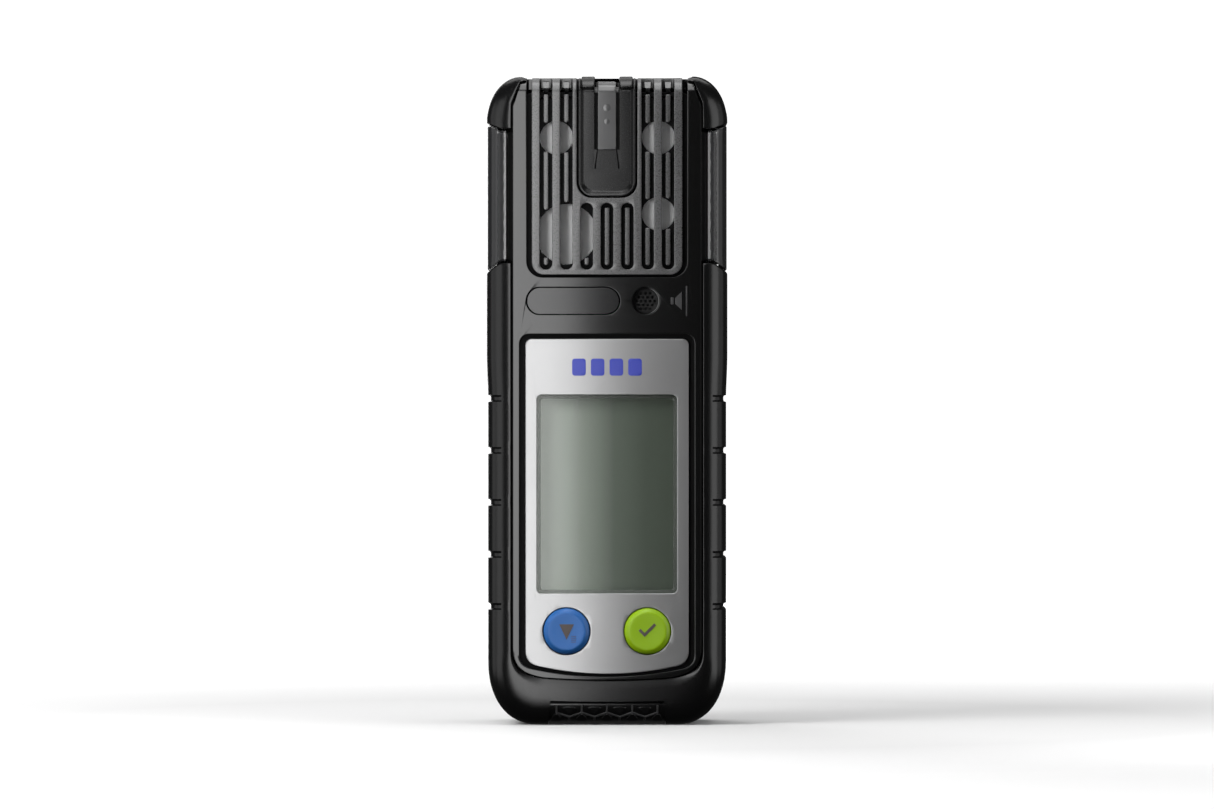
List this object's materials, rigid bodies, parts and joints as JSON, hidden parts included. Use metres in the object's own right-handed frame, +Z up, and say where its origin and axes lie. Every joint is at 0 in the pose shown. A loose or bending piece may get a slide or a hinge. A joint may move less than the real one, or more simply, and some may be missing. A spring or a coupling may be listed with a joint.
{
  "type": "portable gas detector",
  "caption": "Handheld multi-gas detector with slotted gas inlet, side alarm windows, horn, display, press keys, rubber boot and a sprung belt clip.",
  "frame": {"origin": "centre of the flat rest face under the foot", "axes": "+X to the right seen from the front, +Y from the display towards the belt clip, +Z up to the gas inlet"},
  "size_m": [0.0478, 0.0406, 0.1286],
  "materials": {
    "housing_plastic": "fine-grained satin black",
    "rubber": "matt black with a fine texture",
    "grille_plastic": "satin dark grey",
    "channel_plastic": "satin black",
    "smoked_window": "smoked, clear",
    "light_guide": "milky, smooth",
    "filter_white": "white porous membrane",
    "silver_paint": "silver lacquer, satin",
    "display_glass": "clear, smooth",
    "lcd": "grey-green liquid crystal",
    "ir_window": "polished, infrared clear",
    "blue_key": "satin blue",
    "green_key": "satin lime green",
    "silicone": "soft grey",
    "steel": "bright",
    "clip_steel": "brushed stainless",
    "gold": "gold plated",
    "circuit_board": "green solder mask",
    "chip": "moulded black",
    "battery_foil": "pouch foil",
    "label": "blank silver foil"
  },
  "bodies": {
    "case": {"front_housing": "housing_plastic", "rear_housing": "housing_plastic", "housing_seal": "silicone", "rubber_boot": "rubber", "bottom_tread_pad": "rubber", "corner_guard_left": "rubber", "corner_guard_right": "rubber", "alarm_window_left": "smoked_window", "alarm_window_right": "smoked_window", "light_guide_left": "light_guide", "light_guide_right": "light_guide", "alarm_led_strip_left": "circuit_board", "alarm_led_strip_right": "circuit_board", "housing_screw_upper_left": "steel", "housing_screw_upper_right": "steel", "housing_screw_lower_left": "steel", "housing_screw_lower_right": "steel", "sensor_grille": "grille_plastic", "centre_channel": "channel_plastic", "channel_light_guide": "light_guide", "sensor_mask": "grille_plastic", "filter_upper_left": "filter_white", "filter_upper_right": "filter_white", "filter_lower_right": "filter_white", "filter_lower_left": "filter_white", "sensor_upper_left": "steel", "sensor_upper_right": "steel", "sensor_lower_right": "steel", "sensor_lower_left": "steel", "sensor_board": "circuit_board", "ir_window": "ir_window", "ir_transceiver": "chip", "horn_mesh": "chip", "horn": "chip", "faceplate": "silver_paint", "display_lens": "display_glass", "lcd_module": "lcd", "lcd_flex": "gold", "keypad_mat": "silicone", "tact_switch_down": "steel", "tact_switch_confirm": "steel", "main_board": "circuit_board", "processor": "chip", "battery_cell": "battery_foil", "battery_cradle": "housing_plastic", "vibration_motor": "steel", "charge_contact_left": "gold", "charge_contact_right": "gold", "rating_label": "label", "clip_base": "clip_steel", "clip_pin": "steel", "clip_spring": "steel", "clip_screw": "steel"},
    "down_key": {"button_down": "blue_key", "switch_plunger_down": "chip"},
    "confirm_key": {"button_confirm": "green_key", "switch_plunger_confirm": "chip"},
    "clip_arm": {"clip_lever": "clip_steel"},
    "motor_rotor": {"motor_weight": "steel"}
  },
  "joints": [
    {"name": "down_key_press", "type": "slide", "parent": "case", "child": "down_key", "axis": [0, 1, 0], "range_m": [0, 0.0008], "stiffness_N_per_m": 1500, "springref_m": -0.0004},
    {"name": "confirm_key_press", "type": "slide", "parent": "case", "child": "confirm_key", "axis": [0, 1, 0], "range_m": [0, 0.0008], "stiffness_N_per_m": 1500, "springref_m": -0.0004},
    {"name": "clip_open", "type": "hinge", "parent": "case", "child": "clip_arm", "pos_m": [0, 0.02, 0.092], "axis": [1, 0, 0], "range_deg": [0, 15], "stiffness_Nm_per_rad": 0.3, "springref_deg": -17.19},
    {"name": "motor_spin", "type": "hinge", "parent": "case", "child": "motor_rotor", "pos_m": [0, 0.003, 0.07], "axis": [1, 0, 0], "continuous": true}
  ]
}
